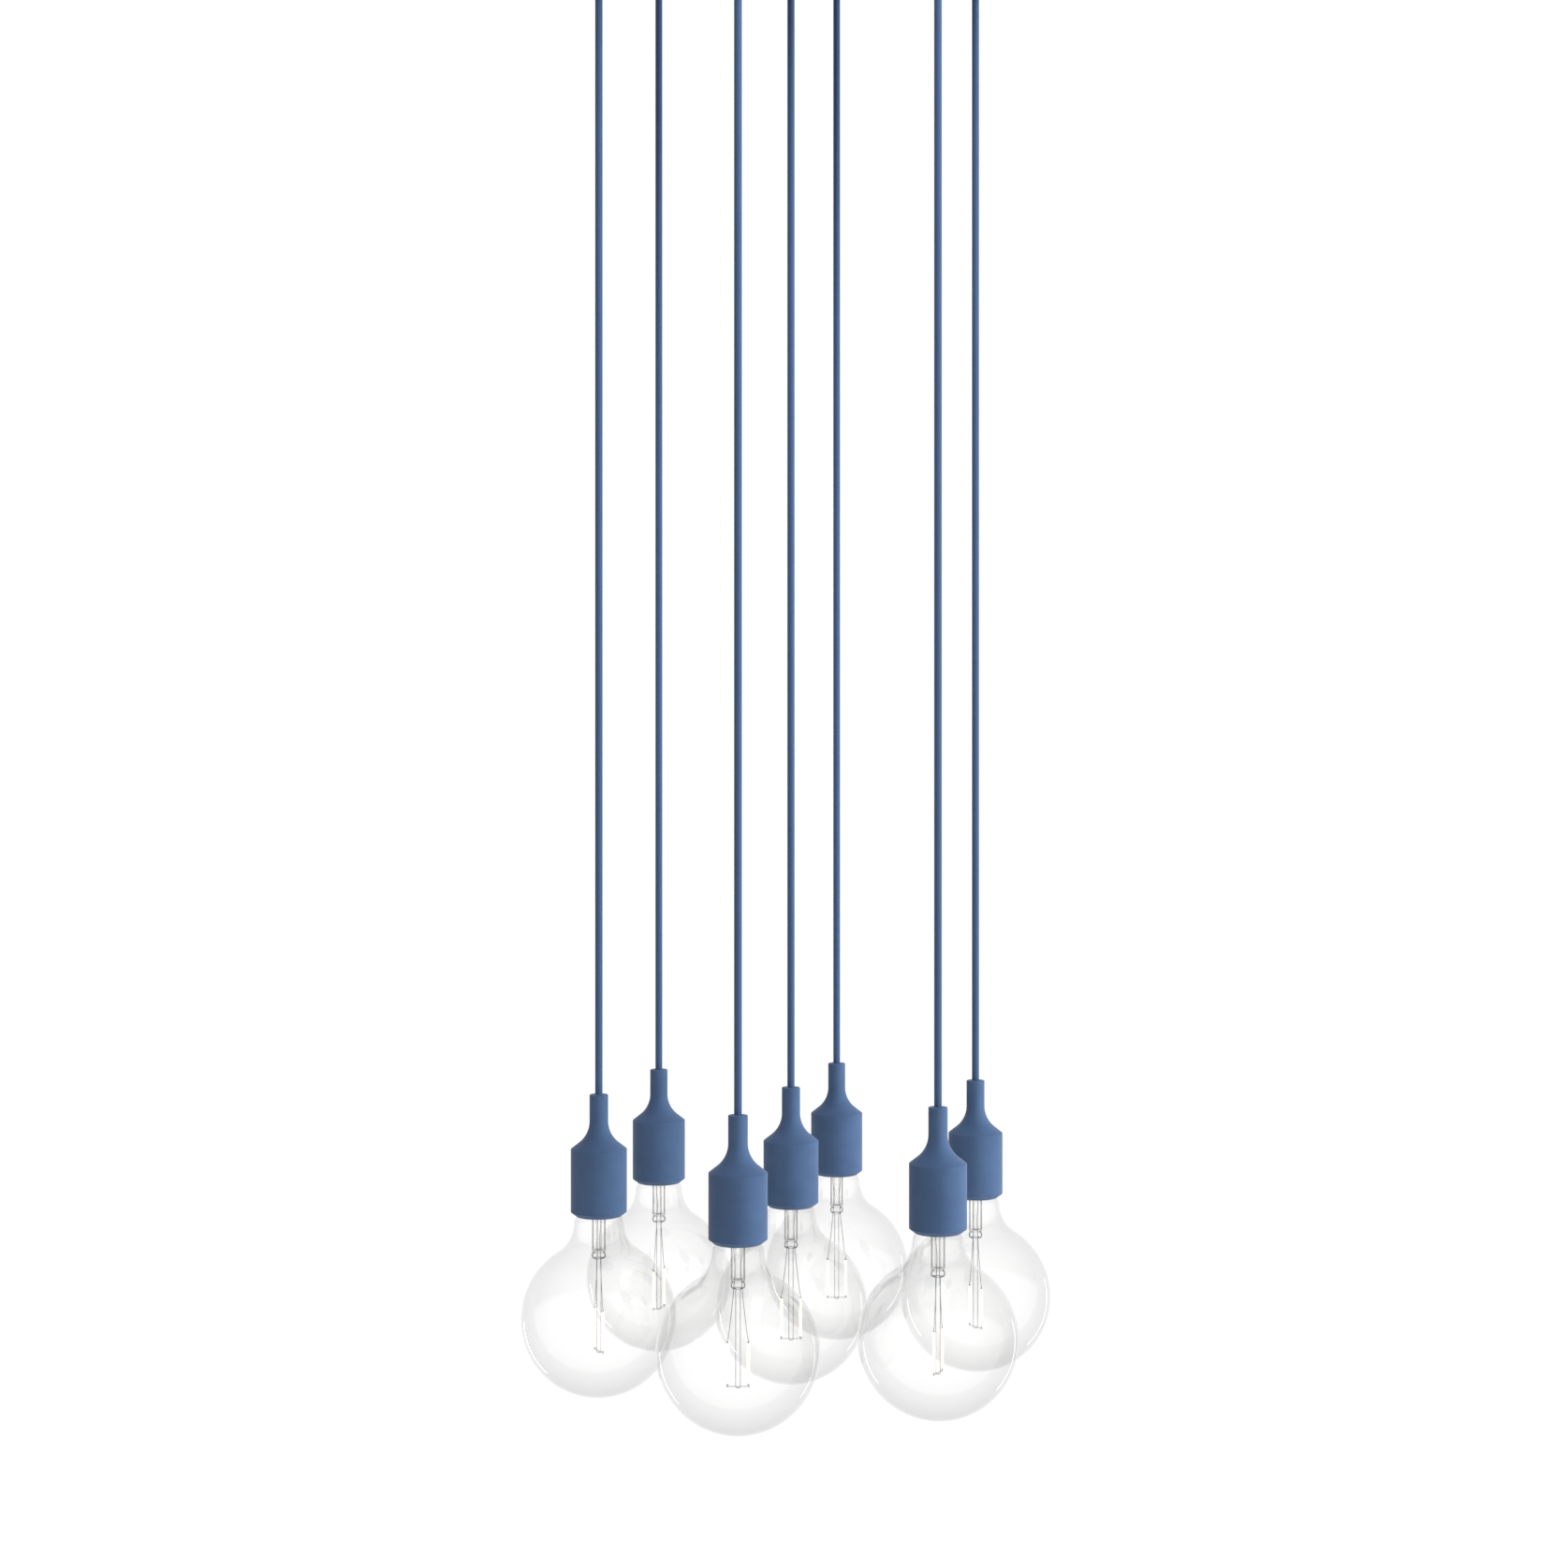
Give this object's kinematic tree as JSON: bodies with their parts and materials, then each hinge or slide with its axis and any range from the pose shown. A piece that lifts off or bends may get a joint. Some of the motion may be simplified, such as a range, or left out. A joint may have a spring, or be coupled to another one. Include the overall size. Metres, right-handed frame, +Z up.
{
  "type": "cluster pendant light",
  "caption": "Cluster of clear globe filament lamps in blue silicone holder covers, hung level on straight blue cords from one round ceiling canopy.",
  "frame": {"origin": "centre of the two ceiling screw slots, in the ceiling plane, on the axis of the centre lamp", "axes": "+Z up into the ceiling, -Z down along the cords; -Y towards the viewer of the picture and +X to their right"},
  "size_m": [0.4336, 0.4346, 1.242],
  "materials": {
    "canopy_paint": "matte blue powder coat",
    "zinc_steel": "zinc plated sheet",
    "grip_plastic": "matte blue",
    "wiring_plastic": "plain insulating plastic",
    "cord_pvc": "smooth satin blue cord sheath",
    "silicone": "matte blue silicone",
    "holder_plastic": "plain insulating plastic",
    "brass": "plain brass sheet",
    "tip_insulator": "black insulator with a metal tip",
    "cap_metal": "nickel plated screw cap",
    "clear_glass": "very clear blown glass",
    "filament": "pale yellow filament, softly lit"
  },
  "bodies": {
    "canopy": {"canopy_pan": "canopy_paint", "ceiling_bracket": "zinc_steel", "cord_grips": "grip_plastic", "canopy_wiring": "wiring_plastic"},
    "cord_a": {"cord_a": "cord_pvc"},
    "lamp_a": {"silicone_cover_a": "silicone", "lamp_holder_a": "holder_plastic", "holder_contacts_a": "brass"},
    "bulb_tip_a": {"bulb_tip_a": "tip_insulator"},
    "bulb_a": {"bulb_cap_a": "cap_metal", "bulb_glass_a": "clear_glass", "bulb_filaments_a": "filament"},
    "cord_b": {"cord_b": "cord_pvc"},
    "lamp_b": {"silicone_cover_b": "silicone", "lamp_holder_b": "holder_plastic", "holder_contacts_b": "brass"},
    "bulb_tip_b": {"bulb_tip_b": "tip_insulator"},
    "bulb_b": {"bulb_cap_b": "cap_metal", "bulb_glass_b": "clear_glass", "bulb_filaments_b": "filament"},
    "cord_c": {"cord_c": "cord_pvc"},
    "lamp_c": {"silicone_cover_c": "silicone", "lamp_holder_c": "holder_plastic", "holder_contacts_c": "brass"},
    "bulb_tip_c": {"bulb_tip_c": "tip_insulator"},
    "bulb_c": {"bulb_cap_c": "cap_metal", "bulb_glass_c": "clear_glass", "bulb_filaments_c": "filament"},
    "cord_d": {"cord_d": "cord_pvc"},
    "lamp_d": {"silicone_cover_d": "silicone", "lamp_holder_d": "holder_plastic", "holder_contacts_d": "brass"},
    "bulb_tip_d": {"bulb_tip_d": "tip_insulator"},
    "bulb_d": {"bulb_cap_d": "cap_metal", "bulb_glass_d": "clear_glass", "bulb_filaments_d": "filament"},
    "cord_e": {"cord_e": "cord_pvc"},
    "lamp_e": {"silicone_cover_e": "silicone", "lamp_holder_e": "holder_plastic", "holder_contacts_e": "brass"},
    "bulb_tip_e": {"bulb_tip_e": "tip_insulator"},
    "bulb_e": {"bulb_cap_e": "cap_metal", "bulb_glass_e": "clear_glass", "bulb_filaments_e": "filament"},
    "cord_f": {"cord_f": "cord_pvc"},
    "lamp_f": {"silicone_cover_f": "silicone", "lamp_holder_f": "holder_plastic", "holder_contacts_f": "brass"},
    "bulb_tip_f": {"bulb_tip_f": "tip_insulator"},
    "bulb_f": {"bulb_cap_f": "cap_metal", "bulb_glass_f": "clear_glass", "bulb_filaments_f": "filament"},
    "cord_g": {"cord_g": "cord_pvc"},
    "lamp_g": {"silicone_cover_g": "silicone", "lamp_holder_g": "holder_plastic", "holder_contacts_g": "brass"},
    "bulb_tip_g": {"bulb_tip_g": "tip_insulator"},
    "bulb_g": {"bulb_cap_g": "cap_metal", "bulb_glass_g": "clear_glass", "bulb_filaments_g": "filament"}
  },
  "joints": [
    {"name": "swing_a", "type": "hinge", "parent": "canopy", "child": "cord_a", "pos_m": [-0.15433, -0.04222, -0.055], "axis": [-0.2639, 0.9646, 0], "range_deg": [-0.8, 25]},
    {"name": "tilt_a", "type": "hinge", "parent": "cord_a", "child": "lamp_a", "pos_m": [-0.15433, -0.04222, -1], "axis": [-0.9646, -0.2639, 0], "range_deg": [-8, 8]},
    {"name": "bulb_travel_a", "type": "slide", "parent": "lamp_a", "child": "bulb_tip_a", "axis": [0, 0, -1], "range_m": [0, 0.01816]},
    {"name": "bulb_turn_a", "type": "hinge", "parent": "bulb_tip_a", "child": "bulb_a", "pos_m": [-0.15433, -0.04222, -1.0795], "axis": [0, 0, -1], "range_deg": [0, 1800]},
    {"name": "swing_b", "type": "hinge", "parent": "canopy", "child": "cord_b", "pos_m": [-0.11373, 0.11254, -0.055], "axis": [0.7034, 0.7108, 0], "range_deg": [-0.8, 25]},
    {"name": "tilt_b", "type": "hinge", "parent": "cord_b", "child": "lamp_b", "pos_m": [-0.11373, 0.11254, -1], "axis": [-0.7108, 0.7034, 0], "range_deg": [-8, 8]},
    {"name": "bulb_travel_b", "type": "slide", "parent": "lamp_b", "child": "bulb_tip_b", "axis": [0, 0, -1], "range_m": [0, 0.01816]},
    {"name": "bulb_turn_b", "type": "hinge", "parent": "bulb_tip_b", "child": "bulb_b", "pos_m": [-0.11373, 0.11254, -1.0795], "axis": [0, 0, -1], "range_deg": [0, 1800]},
    {"name": "swing_c", "type": "hinge", "parent": "canopy", "child": "cord_c", "pos_m": [-0.0406, -0.15476, -0.055], "axis": [-0.9673, 0.2538, 0], "range_deg": [-0.8, 25]},
    {"name": "tilt_c", "type": "hinge", "parent": "cord_c", "child": "lamp_c", "pos_m": [-0.0406, -0.15476, -1], "axis": [-0.2538, -0.9673, 0], "range_deg": [-8, 8]},
    {"name": "bulb_travel_c", "type": "slide", "parent": "lamp_c", "child": "bulb_tip_c", "axis": [0, 0, -1], "range_m": [0, 0.01816]},
    {"name": "bulb_turn_c", "type": "hinge", "parent": "bulb_tip_c", "child": "bulb_c", "pos_m": [-0.0406, -0.15476, -1.0795], "axis": [0, 0, -1], "range_deg": [0, 1800]},
    {"name": "swing_d", "type": "hinge", "parent": "canopy", "child": "cord_d", "pos_m": [0, 0, -0.055], "axis": [0, -1, 0], "range_deg": [-0.8, 0.8]},
    {"name": "tilt_d", "type": "hinge", "parent": "cord_d", "child": "lamp_d", "pos_m": [0, 0, -1], "axis": [1, 0, 0], "range_deg": [-3, 3]},
    {"name": "bulb_travel_d", "type": "slide", "parent": "lamp_d", "child": "bulb_tip_d", "axis": [0, 0, -1], "range_m": [0, 0.01816]},
    {"name": "bulb_turn_d", "type": "hinge", "parent": "bulb_tip_d", "child": "bulb_d", "pos_m": [0, 0, -1.0795], "axis": [0, 0, -1], "range_deg": [0, 1800]},
    {"name": "swing_e", "type": "hinge", "parent": "canopy", "child": "cord_e", "pos_m": [0.0406, 0.15476, -0.055], "axis": [0.9673, -0.2538, 0], "range_deg": [-0.8, 25]},
    {"name": "tilt_e", "type": "hinge", "parent": "cord_e", "child": "lamp_e", "pos_m": [0.0406, 0.15476, -1], "axis": [0.2538, 0.9673, 0], "range_deg": [-8, 8]},
    {"name": "bulb_travel_e", "type": "slide", "parent": "lamp_e", "child": "bulb_tip_e", "axis": [0, 0, -1], "range_m": [0, 0.01816]},
    {"name": "bulb_turn_e", "type": "hinge", "parent": "bulb_tip_e", "child": "bulb_e", "pos_m": [0.0406, 0.15476, -1.0795], "axis": [0, 0, -1], "range_deg": [0, 1800]},
    {"name": "swing_f", "type": "hinge", "parent": "canopy", "child": "cord_f", "pos_m": [0.11373, -0.11254, -0.055], "axis": [-0.7034, -0.7108, 0], "range_deg": [-0.8, 25]},
    {"name": "tilt_f", "type": "hinge", "parent": "cord_f", "child": "lamp_f", "pos_m": [0.11373, -0.11254, -1], "axis": [0.7108, -0.7034, 0], "range_deg": [-8, 8]},
    {"name": "bulb_travel_f", "type": "slide", "parent": "lamp_f", "child": "bulb_tip_f", "axis": [0, 0, -1], "range_m": [0, 0.01816]},
    {"name": "bulb_turn_f", "type": "hinge", "parent": "bulb_tip_f", "child": "bulb_f", "pos_m": [0.11373, -0.11254, -1.0795], "axis": [0, 0, -1], "range_deg": [0, 1800]},
    {"name": "swing_g", "type": "hinge", "parent": "canopy", "child": "cord_g", "pos_m": [0.15433, 0.04222, -0.055], "axis": [0.2639, -0.9646, 0], "range_deg": [-0.8, 25]},
    {"name": "tilt_g", "type": "hinge", "parent": "cord_g", "child": "lamp_g", "pos_m": [0.15433, 0.04222, -1], "axis": [0.9646, 0.2639, 0], "range_deg": [-8, 8]},
    {"name": "bulb_travel_g", "type": "slide", "parent": "lamp_g", "child": "bulb_tip_g", "axis": [0, 0, -1], "range_m": [0, 0.01816]},
    {"name": "bulb_turn_g", "type": "hinge", "parent": "bulb_tip_g", "child": "bulb_g", "pos_m": [0.15433, 0.04222, -1.0795], "axis": [0, 0, -1], "range_deg": [0, 1800]}
  ],
  "couplings": [
    {"joint": "bulb_travel_a", "follows": "bulb_turn_a", "m_per_rad": 0.00057757},
    {"joint": "bulb_travel_b", "follows": "bulb_turn_b", "m_per_rad": 0.00057757},
    {"joint": "bulb_travel_c", "follows": "bulb_turn_c", "m_per_rad": 0.00057757},
    {"joint": "bulb_travel_d", "follows": "bulb_turn_d", "m_per_rad": 0.00057757},
    {"joint": "bulb_travel_e", "follows": "bulb_turn_e", "m_per_rad": 0.00057757},
    {"joint": "bulb_travel_f", "follows": "bulb_turn_f", "m_per_rad": 0.00057757},
    {"joint": "bulb_travel_g", "follows": "bulb_turn_g", "m_per_rad": 0.00057757}
  ]
}
